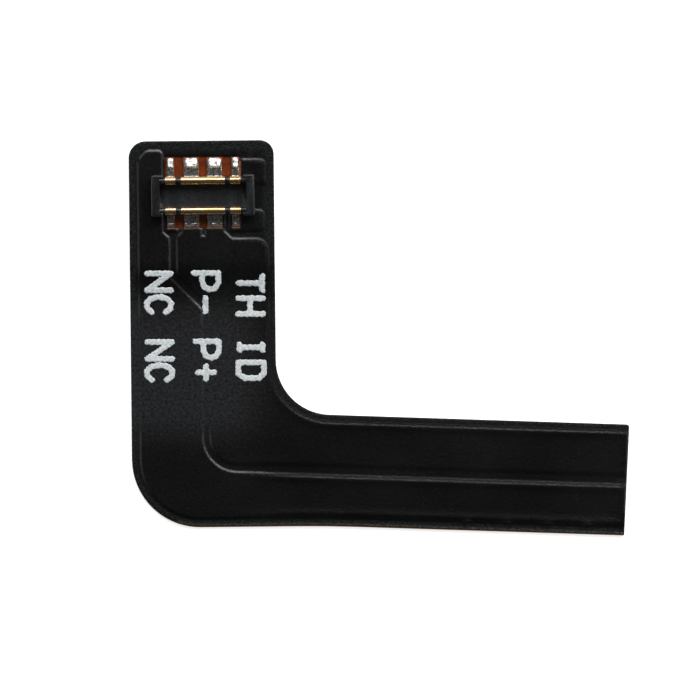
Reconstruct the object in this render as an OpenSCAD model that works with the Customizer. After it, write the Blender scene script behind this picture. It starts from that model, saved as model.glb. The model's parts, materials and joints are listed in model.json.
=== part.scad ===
// Flexible lead of a tablet battery: a flat L of printed film with a board plug on its head.
// Millimetres. The origin lies on the resting face, straight under the middle of the plug.
// +X runs along the tail, +Y towards the end of the head, +Z up through the plug.

/* [Film outline] */
// Width of the head and arm
head_w = 6.04; // [5.6:0.02:7]
// Distance from the middle of the plug to the end of the head
head_reach = 2.3; // [2.2:0.01:3.2]
// Distance that the plug sits right of the head's middle line
plug_shift = 0.062; // [-0.1:0.001:0.12]
// Radius of the head's corner above the outer edge
head_outer_r = 0.7; // [0.3:0.05:0.9]
// Radius of the head's corner above the inner edge
head_inner_r = 0.58; // [0.3:0.02:0.9]
// Distance from the middle of the plug to the foot of the L
arm_reach = 13.8; // [12:0.05:20]
// Radius of the outer bend between arm and tail
outer_bend_r = 2.84; // [1.8:0.02:3]
// Radius of the inner bend between arm and tail
inner_bend_r = 2.3; // [1:0.05:3]
// Distance from the middle of the plug to the knee where the foot starts to slope
knee_reach = 5; // [4:0.1:8]
// Radius that softens the knee
knee_r = 60; // [10:1:80]
// Width of the tail
tail_w = 4.63; // [4.2:0.01:5.4]
// Distance from the middle of the plug to the sheared end of the tail
tail_reach = 17.52; // [12:0.02:40]
// Angle that the tail dips from square, in degrees
tail_dip = 2.45; // [0:0.05:5]
// Angle that the sheared end is off square to the tail, in degrees
end_skew = 0.8; // [-4:0.1:4]

/* [Layers] */
// Thickness of the stiffener under the head
stiffener_t = 0.2; // [0.1:0.05:0.4]
// Distance from the middle of the plug to the lower edge of the stiffener
stiffener_reach = 2.7; // [2:0.05:4]
// Length over which the film steps down from the stiffener
step_run = 1.8; // [1:0.1:3]
// Thickness of the bottom coverlay
back_cover_t = 0.07; // [0.05:0.01:0.12]
// Thickness of the back copper
back_copper_t = 0.035; // [0.018:0.001:0.045]
// Thickness of the base film
base_t = 0.05; // [0.025:0.005:0.1]
// Thickness of the upper copper
copper_t = 0.07; // [0.035:0.005:0.105]
// Thickness of the top coverlay where it lies over copper
cover_t = 0.05; // [0.025:0.005:0.08]
// Distance that the top coverlay was laid off the foot's edge, so that a hair of base film shows
cover_off = 0.03; // [0:0.01:0.08]

/* [Conductors] */
// Bare margin between the film's outer edge and the copper
outer_margin = 0.45; // [0.25:0.01:0.5]
// Bare margin between the film's inner edge and the copper
inner_margin = 0.33; // [0.15:0.01:0.4]
// Bare margin at the end of the head
top_margin = 0.475; // [0.25:0.005:0.5]
// Length of the copper's cut corner at the end of the head
copper_chamfer = 0.34; // [0.1:0.02:0.5]
// Gap between the two wide conductors
seam_gap = 0.46; // [0.2:0.02:0.5]
// Distance from the middle of the plug to the seam where it leaves the head
seam_offset = 1.265; // [1.2:0.005:1.4]
// Distance from the middle of the plug to the start of the seam's slant
slant_start = 3.33; // [2.8:0.01:6]
// Distance that the seam lies right of the middle of the plug along the arm
arm_seam_x = 0.04; // [-0.4:0.02:0.6]
// Distance from the tail's outer edge to the seam
tail_seam_at = 2.28; // [1.8:0.02:2.8]
// Radius of the seam's bend
seam_bend_r = 1.3; // [0.6:0.05:2]
// Gap round the small copper islands and the pads
island_gap = 0.25; // [0.12:0.01:0.27]
// Distance from the middle of the plug to the upper end of the funnel over the seam
funnel_start = 1.52; // [1.5:0.01:2]
// Half width of the negative bus that crosses under the plug
bus_half = 0.3; // [0.2:0.02:0.4]
// Distance that the positive conductor's shoulder lies below the funnel's upper end
shoulder_drop = 0.35; // [0.2:0.01:0.5]
// Distance that the slot between the positive pads runs past the window
slot_run = 0.39; // [0.1:0.01:0.6]
// Distance between the film's inner edge and the thermistor island
island_margin = 0.44; // [0.3:0.01:0.5]
// Distance that the thermistor island's upper edge lies below the window's far edge
island_drop = 0.22; // [0.05:0.01:0.3]
// Distance between the film's inner edge and the marker island
marker_margin = 0.51; // [0.4:0.01:0.6]
// Distance from the middle of the plug to the marker island's upper edge, beside its pad
marker_near = 0.68; // [0.6:0.01:0.72]
// Distance that the draped coverlay spreads beyond the copper's edge
drape = 0.12; // [0.06:0.01:0.14]

/* [Back traces] */
// Width of a back trace
trace_w = 0.3; // [0.15:0.01:0.4]
// Distance from the film's inner edge to the first back trace
trace_from_edge = 0.55; // [0.4:0.05:0.8]
// Distance between the middle lines of the two back traces
trace_pitch = 0.5; // [0.45:0.05:0.8]
// Radius of the round pad at a via
via_pad_r = 0.2; // [0.15:0.01:0.22]
// Outer radius of a via barrel
via_r = 0.1; // [0.06:0.01:0.12]
// Wall of a via barrel
via_wall = 0.03; // [0.02:0.005:0.04]
// Distance from the film's inner edge to the vias
via_from_edge = 0.95; // [0.8:0.01:1]
// Distance from the middle of the plug to the vias along Y
via_y = 0.9; // [0.84:0.01:0.98]

/* [Plug] */
// Length of the plug
plug_len = 4.3; // [4.2:0.05:4.6]
// Depth of the plug
plug_depth = 1.75; // [1.7:0.05:1.9]
// Height of the plug above the film
plug_h = 0.6; // [0.45:0.05:0.9]
// Thickness of the plug's end blocks
end_block_w = 0.35; // [0.3:0.01:0.4]
// Length of the arms that reach from the end blocks round the long walls
end_arm = 0.17; // [0.1:0.01:0.2]
// Thickness of those arms
end_arm_t = 0.16; // [0.1:0.01:0.2]
// Radius of the end blocks' upright corners
end_corner_r = 0.14; // [0.05:0.01:0.15]
// Radius of the end blocks' upper edges
end_edge_r = 0.08; // [0.03:0.01:0.1]
// Thickness of the plug's floor
floor_t = 0.14; // [0.1:0.02:0.2]
// Thickness of a long wall with its contacts
wall_w = 0.35; // [0.32:0.01:0.4]
// Distance from the middle of the plug to the outer face of a long wall
wall_out = 0.8; // [0.78:0.01:0.83]
// Distance that the contacts stand proud of the plastic walls
contact_proud = 0.02; // [0.01:0.005:0.03]

/* [Contacts] */
// Thickness of the contact strip
strip_t = 0.07; // [0.05:0.005:0.08]
// Bend radius of the strip's middle line over the crest of a wall
crest_r = 0.13; // [0.08:0.005:0.14]
// Bend radius of the strip's middle line where a tail leaves the wall
heel_r = 0.07; // [0.05:0.005:0.1]
// Width of a signal contact
signal_w = 0.43; // [0.3:0.01:0.45]
// Width of a power contact
power_w = 1.83; // [1.6:0.01:1.86]
// Distance from the middle of the plug to a signal contact
signal_at = 1.35; // [1.33:0.01:1.4]
// Width of a signal contact's solder tail
signal_tail_w = 0.28; // [0.2:0.01:0.28]
// Width of each solder tail of a power contact
power_tail_w = 0.6; // [0.4:0.02:0.6]
// Distance from the middle of a power contact to each of its tails
power_tail_at = 0.485; // [0.44:0.005:0.5]
// Length of a solder tail outside the long wall
tail_run = 0.41; // [0.3:0.01:0.45]

/* [Windows and solder] */
// Distance from the middle of the plug to the far edge of the upper window
upper_window = 1.65; // [1.54:0.01:1.76]
// Distance from the middle of the plug to the far edge of the lower window
lower_window = 1.35; // [1.34:0.01:1.42]
// Distance from the middle of the plug to the near edges of the windows
window_near = 0.6; // [0.56:0.01:0.65]
// Half length of the upper window
window_half = 1.59; // [1.56:0.01:1.65]
// Half length of the lower window
lower_window_half = 1.54; // [1.54:0.01:1.65]
// Radius of the windows' corners
window_r = 0.06; // [0:0.01:0.1]
// Clearance of the coverlay web that stands between the marker pad and the positive pad
web_clear = 0.03; // [0.01:0.01:0.08]
// Bare rim of a pad round its solder tail
pad_rim = 0.02; // [0:0.005:0.03]
// Distance from the middle of the plug to the near ends of the pads
pad_near = 0.55; // [0.55:0.01:0.6]
// Gap between the ends of the pads and solder and the window's edge
window_clear = 0.04; // [0.02:0.01:0.06]
// Distance that the lower pads run on under the coverlay
pad_tuck = 0.05; // [0.02:0.01:0.05]
// Height of a solder fillet
solder_h = 0.1; // [0.06:0.01:0.14]

/* [Hidden] */

// Film edges
head_left = -head_w / 2 - plug_shift;
head_right = head_w / 2 - plug_shift;

// Heights above the film's underside
base_z = back_cover_t;
copper_z = base_z + base_t;
pad_z = copper_z + copper_t;
cover_z = pad_z + cover_t;

// Heights above the resting face, under the plug
pad_top = stiffener_t + pad_z;
film_top = stiffener_t + cover_z;
floor_top = film_top + floor_t;
plug_top = film_top + plug_h;

// Copper edges
copper_left = head_left + outer_margin;
copper_right = head_right - inner_margin;
copper_top = head_reach - top_margin;
signal_pad_half = signal_tail_w / 2 + pad_rim;
power_pad_half = power_tail_w / 2 + pad_rim;
minus_right = -signal_at - signal_pad_half - island_gap;
power_pad_out = power_tail_at + power_pad_half;
power_pad_in = power_tail_at - power_pad_half;
upper_pad_end = upper_window - window_clear;
slot_end = lower_window + slot_run;
plus_shoulder = funnel_start + shoulder_drop;
island_top = upper_window - island_drop;
island_edge = signal_at + signal_pad_half;
island_reach = head_right - island_margin;
marker_reach = head_right - marker_margin;
via_x = head_right - via_from_edge;

// Solder and tails
toe = wall_out + tail_run;
lower_solder_end = lower_window - window_clear;

// Fineness of curves: degrees for each chord on wide and on small bends
wide_step = 5;
small_step = 15;
small_bend = 0.5;
bore_facets = 48;
step_parts = 12;
drape_parts = 3;

// Small corners
cut_corner_r = 0.04;
tail_corner_r = 0.12;
copper_corner_r = 0.12;
minus_corner_r = min(copper_corner_r, (minus_right - copper_left - copper_chamfer) / 2);
shoulder_r = 0.42;

// Lengths by which cutting shapes run past what they cut
reserve = 1;
cut_room = 3;

function cross2(a, b) = a[0] * b[1] - a[1] * b[0];
function heading(a, b) = let (d = [b[0] - a[0], b[1] - a[1]]) d / norm(d);
function leftward(d) = [-d[1], d[0]];
function turned(v, angle) = [
    v[0] * cos(angle) - v[1] * sin(angle),
    v[0] * sin(angle) + v[1] * cos(angle),
];

// Headings into and out of corner i of a path of [x, y, radius] corners
function heading_in(path, i, closed) =
    i > 0 ? heading(path[i - 1], path[i])
    : closed ? heading(path[len(path) - 1], path[0])
    : heading(path[0], path[1]);
function heading_out(path, i, closed) =
    i < len(path) - 1 ? heading(path[i], path[i + 1])
    : closed ? heading(path[i], path[0])
    : heading(path[i - 1], path[i]);

// The same path moved to its left by a distance, with its bends kept parallel
function shifted(path, by, closed = true) = [
    for (i = [0 : len(path) - 1])
        let (
            u = heading_in(path, i, closed),
            v = heading_out(path, i, closed),
            move = (leftward(u) + leftward(v)) * by / (1 + u * v),
            r = path[i][2]
        )
        [path[i][0] + move[0], path[i][1] + move[1],
            r == 0 ? 0 : max(0, r - sign(cross2(u, v)) * by)]
];

// Points of one rounded corner
function corner_points(q, u, v) =
    let (
        turn = atan2(cross2(u, v), u * v),
        side = sign(turn),
        inward = leftward(u) * side * q[2],
        start = [q[0], q[1]] - u * q[2] * tan(abs(turn) / 2),
        parts = max(2, ceil(abs(turn) / (q[2] > small_bend ? wide_step : small_step)))
    )
    q[2] == 0 || turn == 0
        ? [[q[0], q[1]]]
        : [for (k = [0 : parts]) start + inward - turned(inward, turn * k / parts)];

// Points of a whole path with its corners rounded
function rounded(path, closed = true) = [
    for (i = [0 : len(path) - 1])
        each corner_points(path[i], heading_in(path, i, closed), heading_out(path, i, closed))
];

// Outline of a strip of even width that follows an open path
function strip_outline(path, width) = concat(
    rounded(shifted(path, -width / 2, false), false),
    backward(rounded(shifted(path, width / 2, false), false))
);
function backward(list) = [for (i = [len(list) - 1 : -1 : 0]) list[i]];
function box_path(x_low, y_low, x_high, y_high, r = 0) = [
    [x_low, y_high, r],
    [x_low, y_low, r],
    [x_high, y_low, r],
    [x_high, y_high, r],
];

// Height of a line that runs along the tail at a distance from its outer edge
function tail_y(x, from_edge) =
    -arm_reach + from_edge / cos(tail_dip) - (x - knee_reach - from_edge * sin(tail_dip)) * tan(tail_dip);
// Middle of the tail's end, and the heading of the cut across it
function end_middle(extra) = [tail_reach + extra, tail_y(tail_reach + extra, tail_w / 2)];
end_heading = [sin(tail_dip + end_skew), cos(tail_dip + end_skew)];
function end_point(from_edge, extra) =
    end_middle(extra) + end_heading * (from_edge - tail_w / 2) / cos(end_skew);

// Outline of the film, running down the outer edge and back up the inner edge
function film_path(extra = 0) = [
    [head_left, head_reach, head_outer_r],
    [head_left, -arm_reach, outer_bend_r],
    [knee_reach, -arm_reach, knee_r],
    concat(end_point(0, extra), cut_corner_r),
    concat(end_point(tail_w, extra), tail_corner_r),
    [head_right, tail_y(head_right, tail_w), inner_bend_r],
    [head_right, head_reach, head_inner_r],
];

// Middle line of the seam between the two wide conductors, from the head to the tail's end
seam_slant = arm_seam_x + seam_offset;
seam_path = [
    [-seam_offset, -funnel_start, 0],
    [-seam_offset, -slant_start, 0],
    [arm_seam_x, -slant_start - seam_slant, 0],
    [arm_seam_x, tail_y(arm_seam_x, tail_seam_at), seam_bend_r],
    concat(end_point(tail_seam_at, reserve), 0),
];
minus_seam = shifted(seam_path, -seam_gap / 2, false);
plus_seam = shifted(seam_path, seam_gap / 2, false);

// Copper outlines
outer_edge = shifted(film_path(reserve), outer_margin);
inner_edge = shifted(film_path(reserve), inner_margin);
minus_path = concat(
    [[copper_left, copper_top - copper_chamfer, 0]],
    [outer_edge[1], outer_edge[2], outer_edge[3]],
    backward([minus_seam[1], minus_seam[2], minus_seam[3], minus_seam[4]]),
    [
        [minus_seam[0][0], -funnel_start - (minus_seam[0][0] - minus_right), 0],
        [minus_right, -funnel_start, 0],
        [minus_right, -bus_half, 0],
        [power_pad_out, -bus_half, 0],
        [power_pad_out, upper_pad_end, 0],
        [power_pad_in, upper_pad_end, 0],
        [power_pad_in, bus_half, 0],
        [-power_pad_in, bus_half, 0],
        [-power_pad_in, upper_pad_end, 0],
        [-power_pad_out, upper_pad_end, 0],
        [-power_pad_out, bus_half, 0],
        [minus_right, bus_half, 0],
        [minus_right, copper_top, minus_corner_r],
        [copper_left + copper_chamfer, copper_top, 0],
    ]
);
plus_left = plus_seam[0][0];
plus_path = concat(
    [
        [-power_pad_out, -pad_near, 0],
        [-power_pad_out, -funnel_start, 0],
        [plus_left, -funnel_start + power_pad_out + plus_left, 0],
    ],
    [plus_seam[1], plus_seam[2], plus_seam[3], plus_seam[4]],
    [inner_edge[4], inner_edge[5]],
    [
        [copper_right, -plus_shoulder, shoulder_r],
        [power_pad_out + shoulder_drop, -plus_shoulder, 0],
        [power_pad_out, -funnel_start, 0],
        [power_pad_out, -pad_near, 0],
        [power_pad_in, -pad_near, 0],
        [power_pad_in, -slot_end, 0],
        [-power_pad_in, -slot_end, 0],
        [-power_pad_in, -pad_near, 0],
    ]
);
signal_pad_in = signal_at - signal_pad_half;
th_path = [
    [signal_pad_in, upper_pad_end, 0],
    [signal_pad_in, pad_near, 0],
    [island_reach, pad_near, 0],
    [island_reach, island_top, copper_corner_r],
    [island_edge, island_top, 0],
    [island_edge, upper_pad_end, 0],
];
id_path = [
    [signal_pad_in, -pad_near, 0],
    [signal_pad_in, -lower_window - pad_tuck, 0],
    [marker_reach, -lower_window - pad_tuck, copper_corner_r],
    [marker_reach, -marker_near, copper_corner_r],
    [island_edge, -marker_near, 0],
    [island_edge, -pad_near, 0],
];
nc_upper_path = box_path(-island_edge, pad_near, -signal_pad_in, upper_pad_end);
nc_lower_path = box_path(-island_edge, -lower_window - pad_tuck, -signal_pad_in, -pad_near);
copper_paths = [minus_path, plus_path, th_path, id_path, nc_upper_path, nc_lower_path];

// Middle line of a back trace, from its via to the tail's end
function trace_path(via_side, from_inner_edge) =
    let (
        lane_x = head_right - from_inner_edge,
        lane = tail_w - from_inner_edge,
        sidestep = abs(lane_x - via_x)
    )
    [
        [via_x, via_side * via_y, 0],
        [via_x, via_side * via_y - via_pad_r, 0],
        [lane_x, via_side * via_y - via_pad_r - sidestep, 0],
        [lane_x, tail_y(lane_x, lane), inner_bend_r + from_inner_edge],
        concat(end_point(lane, reserve), 0),
    ];
th_trace = trace_path(1, trace_from_edge);
id_trace = trace_path(-1, trace_from_edge + trace_pitch);

// Height of the film's underside: it rests on the stiffener and steps down to the floor below it
function eased(t) = t <= 0 ? 0 : t >= 1 ? 1 : t * t * (3 - 2 * t);
function bed(y) = stiffener_t * (1 - eased((-y - stiffener_reach) / step_run));
bed_stations = concat(
    [head_reach + reserve],
    [for (k = [0 : step_parts]) -stiffener_reach - step_run * k / step_parts],
    [tail_y(tail_reach, 0) - cut_room]
);

// Endless sheet between two heights above the film's underside, with the step in it
module sheet(low, high) {
    rotate([90, 0, 90])
        translate([0, 0, head_left - reserve])
            linear_extrude(tail_reach - head_left + cut_room)
                polygon(concat(
                    [for (y = bed_stations) [y, bed(y) + low]],
                    backward([for (y = bed_stations) [y, bed(y) + high]])
                ));
}

// Straight wall through every layer, over an outline
module column(points) {
    translate([0, 0, -reserve])
        linear_extrude(plug_top + 2 * reserve)
            polygon(points);
}

// Sheet cut to the film's outline
module film_sheet(low, high) {
    intersection() {
        column(rounded(film_path()));
        sheet(low, high);
    }
}

// Copper or coverlay over one outline, ending with the film
module film_patch(points, low, high) {
    intersection() {
        column(points);
        column(rounded(film_path()));
        sheet(low, high);
    }
}

module via_bore(side) {
    translate([via_x, side * via_y, 0])
        cylinder(h = plug_top, r = via_r, $fn = bore_facets);
}

module stiffener() {
    color("#3a3c38")
        linear_extrude(stiffener_t)
            polygon(rounded([
                [head_left, head_reach, head_outer_r],
                [head_left, -stiffener_reach, 0],
                [head_right, -stiffener_reach, 0],
                [head_right, head_reach, head_inner_r],
            ]));
}

// Undrilled back trace with the round pad at its via, which is also its seat in the bottom coverlay
module trace_seat(path, side) {
    low = base_z - back_copper_t;
    film_patch(strip_outline(path, trace_w), low, base_z);
    intersection() {
        translate([via_x, side * via_y, 0])
            cylinder(h = plug_top, r = via_pad_r, $fn = bore_facets);
        sheet(low, base_z);
    }
}

module back_trace(path, side) {
    color("#b87333")
        difference() {
            trace_seat(path, side);
            via_bore(side);
        }
}

module back_trace_th() {
    back_trace(th_trace, 1);
}

module back_trace_id() {
    back_trace(id_trace, -1);
}

module bottom_coverlay() {
    color("#16181a")
        difference() {
            film_sheet(0, base_z);
            trace_seat(th_trace, 1);
            trace_seat(id_trace, -1);
        }
}

// Via barrel, from the underside of its back pad to the top of its copper
module via(side) {
    low = stiffener_t + base_z - back_copper_t;
    color("#b87333")
        translate([via_x, side * via_y, low])
            difference() {
                cylinder(h = pad_top - low, r = via_r, $fn = bore_facets);
                translate([0, 0, -reserve])
                    cylinder(h = plug_top + reserve, r = via_r - via_wall, $fn = bore_facets);
            }
}

module via_th() {
    via(1);
}

module via_id() {
    via(-1);
}

module base_film() {
    color("#8a4510")
        difference() {
            film_sheet(base_z, copper_z);
            via_bore(1);
            via_bore(-1);
        }
}

module copper_piece(path) {
    color("#c07a3a")
        film_patch(rounded(path), copper_z, pad_z);
}

module conductor_minus() {
    copper_piece(minus_path);
}

module conductor_plus() {
    copper_piece(plus_path);
}

module island_th() {
    difference() {
        copper_piece(th_path);
        via_bore(1);
    }
}

module island_id() {
    difference() {
        copper_piece(id_path);
        via_bore(-1);
    }
}

module pad_nc_upper() {
    copper_piece(nc_upper_path);
}

module pad_nc_lower() {
    copper_piece(nc_lower_path);
}

// The top coverlay fills the gaps flush with the copper, and is draped over the copper in small steps
module top_coverlay() {
    color("#131516")
        difference() {
            union() {
                difference() {
                    intersection() {
                        film_sheet(copper_z, pad_z);
                        translate([0, cover_off, 0])
                            column(rounded(film_path()));
                    }
                    for (path = copper_paths)
                        film_patch(rounded(path), copper_z, pad_z);
                }
                for (path = copper_paths, part = [1 : drape_parts])
                    film_patch(
                        rounded(shifted(path, -drape * (1 - (part - 1) / drape_parts))),
                        pad_z,
                        pad_z + cover_t * part / drape_parts
                    );
            }
            window(-window_half, window_half, upper_window);
            mirror([0, 1, 0]) {
                window(-lower_window_half, power_pad_out + web_clear, lower_window);
                window(signal_pad_in - web_clear, lower_window_half, lower_window);
            }
        }
}

// Opening in the top coverlay, from under the plug to its far edge
module window(left, right, far) {
    translate([0, 0, stiffener_t + copper_z])
        linear_extrude(plug_h)
            polygon(rounded(box_path(left, window_near, right, far, window_r)));
}

// Strip profile drawn in the upright plane across the plug, run along the plug for its width
module across(width) {
    rotate([90, 0, 90])
        linear_extrude(width, center = true)
            children();
}

// Contact bent over the upper long wall, with its solder tails flat on the pads
module contact(width, tails, tail_width) {
    riser = wall_out - strip_t / 2;
    crest = plug_top - strip_t / 2;
    inner_leg = wall_out - wall_w + strip_t / 2;
    foot = pad_top + strip_t / 2;
    color("#d8b46a") {
        across(width)
            polygon(strip_outline([
                [riser, film_top, 0],
                [riser, crest, crest_r],
                [inner_leg, crest, crest_r],
                [inner_leg, floor_top, 0],
            ], strip_t));
        for (at = tails)
            translate([at, 0, 0])
                across(tail_width)
                    polygon(strip_outline([
                        [toe, foot, 0],
                        [riser, foot, heel_r],
                        [riser, floor_top, 0],
                    ], strip_t));
    }
}

module signal_contact() {
    contact(signal_w, [0], signal_tail_w);
}

module power_contact() {
    contact(power_w, [-power_tail_at, power_tail_at], power_tail_w);
}

module contact_nc_upper() {
    translate([-signal_at, 0, 0])
        signal_contact();
}

module contact_minus() {
    power_contact();
}

module contact_th() {
    translate([signal_at, 0, 0])
        signal_contact();
}

module contact_nc_lower() {
    mirror([0, 1, 0])
        contact_nc_upper();
}

module contact_plus() {
    mirror([0, 1, 0])
        contact_minus();
}

module contact_id() {
    mirror([0, 1, 0])
        contact_th();
}

// Profile with rounded upper edges, of a block between two faces
function crowned(low, high, top, r) = rounded([
    [low, film_top, 0],
    [high, film_top, 0],
    [high, top, r],
    [low, top, r],
]);

// One long wall of the plug, up to the end blocks
module long_wall() {
    across(plug_len - end_block_w)
        polygon(crowned(
            wall_out - wall_w + contact_proud,
            wall_out - contact_proud,
            plug_top - contact_proud,
            crest_r + strip_t / 2 - contact_proud
        ));
}

// End block with the short arms that reach round the long walls
module end_block() {
    half = plug_len / 2;
    inner = half - end_block_w;
    intersection() {
        difference() {
            column(rounded(box_path(inner - end_arm, -plug_depth / 2, half, plug_depth / 2, end_corner_r)));
            column(box_points(
                inner - end_arm - reserve, -plug_depth / 2 + end_arm_t,
                inner, plug_depth / 2 - end_arm_t
            ));
        }
        across(2 * plug_len)
            polygon(crowned(-plug_depth / 2, plug_depth / 2, plug_top, end_edge_r));
        rotate([90, 0, 0])
            linear_extrude(2 * plug_depth, center = true)
                polygon(crowned(inner - end_arm, half, plug_top, end_edge_r));
    }
}

function box_points(x_low, y_low, x_high, y_high) = [
    [x_low, y_low],
    [x_high, y_low],
    [x_high, y_high],
    [x_low, y_high],
];

module plug_floor() {
    translate([0, 0, film_top])
        linear_extrude(floor_t)
            polygon(box_points(
                -plug_len / 2 + end_block_w / 2, -wall_out + contact_proud,
                plug_len / 2 - end_block_w / 2, wall_out - contact_proud
            ));
}

// Moulded body of the plug, with a seat in its walls for each contact
module plug_housing() {
    color("#1b1c1e")
        difference() {
            union() {
                plug_floor();
                long_wall();
                mirror([0, 1, 0])
                    long_wall();
                end_block();
                mirror([1, 0, 0])
                    end_block();
            }
            contact_nc_upper();
            contact_minus();
            contact_th();
            contact_nc_lower();
            contact_plus();
            contact_id();
        }
}

// Solder fillet in front of a tail's toe, domed down to the end of its pad
module solder(at, half_width, end) {
    corner_r = half_width / 3;
    color("#c9cbcd")
        intersection() {
            translate([at, 0, 0])
                across(2 * half_width)
                    polygon(concat(
                        [[toe, pad_top]],
                        [for (a = [0 : small_step : 90])
                            [end - (end - toe) * (1 - cos(a)), pad_top + solder_h * sin(a)]]
                    ));
            column(rounded([
                [at - half_width, end, corner_r],
                [at - half_width, toe, 0],
                [at + half_width, toe, 0],
                [at + half_width, end, corner_r],
            ]));
        }
}

module solder_nc_upper() {
    solder(-signal_at, signal_pad_half, upper_pad_end);
}

module solder_minus_left() {
    solder(-power_tail_at, power_pad_half, upper_pad_end);
}

module solder_minus_right() {
    solder(power_tail_at, power_pad_half, upper_pad_end);
}

module solder_th() {
    solder(signal_at, signal_pad_half, upper_pad_end);
}

module solder_nc_lower() {
    mirror([0, 1, 0])
        solder(-signal_at, signal_pad_half, lower_solder_end);
}

module solder_plus_left() {
    mirror([0, 1, 0])
        solder(-power_tail_at, power_pad_half, lower_solder_end);
}

module solder_plus_right() {
    mirror([0, 1, 0])
        solder(power_tail_at, power_pad_half, lower_solder_end);
}

module solder_id() {
    mirror([0, 1, 0])
        solder(signal_at, signal_pad_half, lower_solder_end);
}

stiffener();
bottom_coverlay();
back_trace_th();
back_trace_id();
base_film();
via_th();
via_id();
conductor_minus();
conductor_plus();
island_th();
island_id();
pad_nc_upper();
pad_nc_lower();
top_coverlay();
plug_housing();
contact_nc_upper();
contact_minus();
contact_th();
contact_nc_lower();
contact_plus();
contact_id();
solder_nc_upper();
solder_minus_left();
solder_minus_right();
solder_th();
solder_nc_lower();
solder_plus_left();
solder_plus_right();
solder_id();
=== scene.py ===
import json
import math

import bpy
import numpy as np
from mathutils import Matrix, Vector, geometry


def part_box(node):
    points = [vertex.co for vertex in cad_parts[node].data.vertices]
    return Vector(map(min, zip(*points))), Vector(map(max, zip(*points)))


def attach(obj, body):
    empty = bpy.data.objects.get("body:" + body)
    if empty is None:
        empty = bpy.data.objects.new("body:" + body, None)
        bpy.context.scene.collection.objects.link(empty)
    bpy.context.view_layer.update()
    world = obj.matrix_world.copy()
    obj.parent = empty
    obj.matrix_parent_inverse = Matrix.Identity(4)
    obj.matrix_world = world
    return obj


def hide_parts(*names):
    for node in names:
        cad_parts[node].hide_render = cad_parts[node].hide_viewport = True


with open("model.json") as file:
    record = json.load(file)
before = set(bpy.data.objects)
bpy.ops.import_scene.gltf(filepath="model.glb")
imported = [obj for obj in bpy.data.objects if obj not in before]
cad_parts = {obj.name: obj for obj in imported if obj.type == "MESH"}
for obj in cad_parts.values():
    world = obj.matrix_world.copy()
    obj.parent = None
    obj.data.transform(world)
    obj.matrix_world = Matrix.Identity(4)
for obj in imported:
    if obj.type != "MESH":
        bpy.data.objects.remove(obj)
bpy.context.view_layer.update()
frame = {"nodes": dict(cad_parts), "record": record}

mm = 0.001
nodes = frame["nodes"]


def hexColour(code):
    # sRGB hex to linear
    channels = [int(code[i:i + 2], 16) / 255 for i in (1, 3, 5)]
    return tuple(c / 12.92 if c <= 0.04045 else ((c + 0.055) / 1.055) ** 2.4 for c in channels) + (1,)


def addNode(tree, kind, inputs={}, **settings):
    # one node, its settings, and for each input a value or the output that feeds it
    node = tree.nodes.new(kind)
    for name, value in settings.items():
        setattr(node, name, value)
    for name, value in inputs.items():
        if isinstance(value, bpy.types.NodeSocket):
            tree.links.new(value, node.inputs[name])
        else:
            node.inputs[name].default_value = value
    return node


# The photograph's place over the part: pixels for each mm, the plug's middle, and a slight turn
photo = dict(pixelsPerMm=24, plugX=203.2, plugY=196.0, turn=0.6, size=700)


def fromPixel(x, y):
    # a pixel of the photograph as model x and y, in mm
    u = (x - photo["plugX"]) / photo["pixelsPerMm"]
    v = (photo["plugY"] - y) / photo["pixelsPerMm"]
    turn = math.radians(photo["turn"])
    return np.array([u * math.cos(turn) + v * math.sin(turn), v * math.cos(turn) - u * math.sin(turn)])


def nodeBox(name):
    low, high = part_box(name)
    return np.array(low) / mm, np.array(high) / mm


# Camera: straight down through a long lens, so the lead shows flat as in the photograph
def placeCamera():
    view = dict(lens=500, sensor=36, clip=0.005)
    middle = fromPixel(photo["size"] / 2, photo["size"] / 2)
    across = photo["size"] / photo["pixelsPerMm"] * mm
    data = bpy.data.cameras.new("camera")
    data.lens, data.sensor_width, data.clip_start = view["lens"], view["sensor"], view["clip"]
    camera = bpy.data.objects.new("camera", data)
    camera.location = (middle[0] * mm, middle[1] * mm, across * view["lens"] / view["sensor"])
    camera.rotation_euler = (0, 0, -math.radians(photo["turn"]))
    bpy.context.scene.collection.objects.link(camera)
    bpy.context.scene.camera = camera
    print("camera placed")


placeCamera()


# Materials, each named for what the real one is
def newMaterial(name):
    material = bpy.data.materials.new(name)
    material.use_nodes = True
    tree = material.node_tree
    place = addNode(tree, "ShaderNodeTexCoord").outputs["Object"]
    return material, tree, tree.nodes["Principled BSDF"], place


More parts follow.
